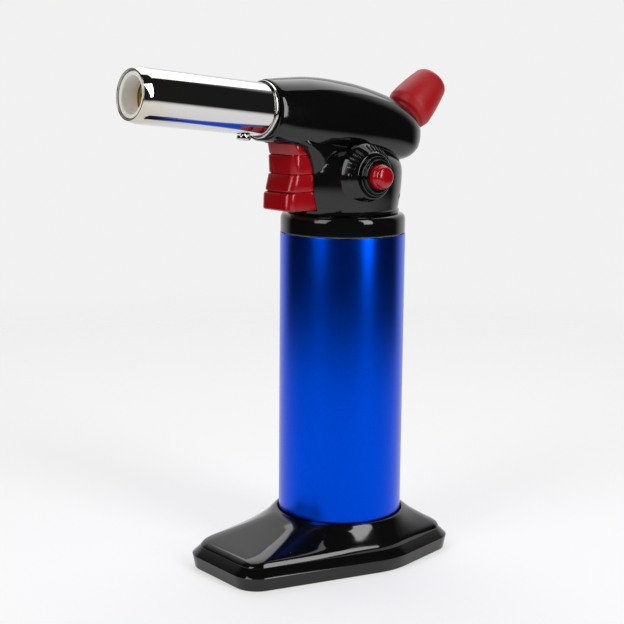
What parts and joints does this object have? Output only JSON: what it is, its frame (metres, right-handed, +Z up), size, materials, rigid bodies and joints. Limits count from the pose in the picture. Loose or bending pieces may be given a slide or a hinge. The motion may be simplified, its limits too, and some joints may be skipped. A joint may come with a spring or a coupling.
{
  "type": "table torch",
  "caption": "Table-top gas torch: broad stand, upright metal-sleeved fuel tank, pistol-shaped head with trigger, gas knob, lock dial and a long tilted burner tube.",
  "frame": {"origin": "centre of the stand's underside plane, half-way along the whole torch from muzzle to knob and on its middle plane", "axes": "+Z up along the tank, -X the way the burner points, +X to the gas knob, -Y the side with the dial and lock button"},
  "size_m": [0.1502, 0.0708, 0.1959],
  "materials": {
    "stand_plastic": "gloss",
    "stand_foot": "matte",
    "sleeve_blue": "satin",
    "head_plastic": "gloss",
    "red_gloss": "gloss",
    "red_satin": "satin",
    "chrome_plate": "polished",
    "zinc_steel": "satin",
    "brass_metal": "satin",
    "white_ceramic": "matte",
    "nylon": "satin",
    "seal_rubber": "matte"
  },
  "bodies": {
    "torch": {"stand_shell": "stand_plastic", "stand_plate": "stand_foot", "stand_screw_1": "zinc_steel", "stand_screw_2": "zinc_steel", "stand_screw_3": "zinc_steel", "stand_screw_4": "zinc_steel", "tank_sleeve": "sleeve_blue", "fuel_tank": "nylon", "tank_cap": "nylon", "tank_seal": "seal_rubber", "head_collar": "head_plastic", "refill_valve_body": "brass_metal", "refill_spring": "zinc_steel", "outlet_valve_body": "brass_metal", "outlet_spring": "zinc_steel", "dip_tube": "nylon", "head_shell_left": "head_plastic", "head_shell_right": "head_plastic", "head_screw_1": "zinc_steel", "head_screw_2": "zinc_steel", "head_screw_3": "zinc_steel", "burner_tube": "chrome_plate", "tube_flange": "chrome_plate", "tube_screw": "chrome_plate", "ceramic_liner": "white_ceramic", "burner_disc": "brass_metal", "mixer_tube": "zinc_steel", "jet": "brass_metal", "electrode": "zinc_steel", "electrode_insulator": "white_ceramic", "ignition_wire": "seal_rubber", "trigger_spring": "zinc_steel", "piezo_body": "head_plastic", "lever_pin": "zinc_steel", "lever_bracket": "zinc_steel", "regulator_body": "brass_metal", "gas_hose": "seal_rubber", "gas_pipe": "brass_metal", "safety_spring": "zinc_steel"},
    "refill_stem_body": {"refill_stem": "zinc_steel"},
    "outlet_stem_body": {"outlet_stem": "zinc_steel"},
    "trigger_body": {"trigger": "red_gloss"},
    "plunger_body": {"piezo_plunger": "nylon"},
    "lever_body": {"valve_lever": "zinc_steel"},
    "knob_body": {"gas_knob": "red_satin", "gas_spindle": "zinc_steel"},
    "dial_body": {"air_dial": "head_plastic", "lock_spring": "zinc_steel"},
    "lock_body": {"lock_button": "red_gloss"},
    "safety_body": {"safety_button": "red_gloss"}
  },
  "joints": [
    {"name": "trigger_pull", "type": "slide", "parent": "torch", "child": "trigger_body", "axis": [1, 0, 0], "range_m": [0, 0.0045], "stiffness_N_per_m": 1200, "springref_m": -0.004, "deforming": ["trigger_spring"]},
    {"name": "plunger_push", "type": "slide", "parent": "torch", "child": "plunger_body", "axis": [1, 0, 0], "range_m": [0, 0.0045]},
    {"name": "lever_swing", "type": "hinge", "parent": "torch", "child": "lever_body", "pos_m": [0.01824, 0, 0.151], "axis": [0, 1, 0], "range_deg": [-35.2, 0]},
    {"name": "valve_lift", "type": "slide", "parent": "torch", "child": "outlet_stem_body", "axis": [0, 0, 1], "range_m": [0, 0.0026], "stiffness_N_per_m": 600, "springref_m": -0.003, "deforming": ["outlet_spring"]},
    {"name": "gas_turn", "type": "hinge", "parent": "torch", "child": "knob_body", "pos_m": [0.05724, 0, 0.1789], "axis": [0.7431, 0, 0.6691], "range_deg": [-135, 135]},
    {"name": "dial_turn", "type": "hinge", "parent": "torch", "child": "dial_body", "pos_m": [0.01984, -0.02, 0.1553], "axis": [0, 1, 0], "range_deg": [-70, 70]},
    {"name": "lock_press", "type": "slide", "parent": "dial_body", "child": "lock_body", "axis": [0, 1, 0], "range_m": [0, 0.002], "stiffness_N_per_m": 500, "springref_m": -0.002, "deforming": ["lock_spring"]},
    {"name": "safety_press", "type": "slide", "parent": "torch", "child": "safety_body", "axis": [-1, 0, 0], "range_m": [0, 0.0013], "stiffness_N_per_m": 500, "springref_m": -0.002, "deforming": ["safety_spring"]},
    {"name": "refill_press", "type": "slide", "parent": "torch", "child": "refill_stem_body", "axis": [0, 0, 1], "range_m": [0, 0.0015], "stiffness_N_per_m": 800, "springref_m": -0.002, "deforming": ["refill_spring"]}
  ],
  "couplings": [
    {"joint": "plunger_push", "follows": "trigger_pull", "ratio": 1},
    {"joint": "lever_swing", "follows": "trigger_pull", "rad_per_m": -135.6},
    {"joint": "valve_lift", "follows": "trigger_pull", "ratio": 0.57}
  ]
}
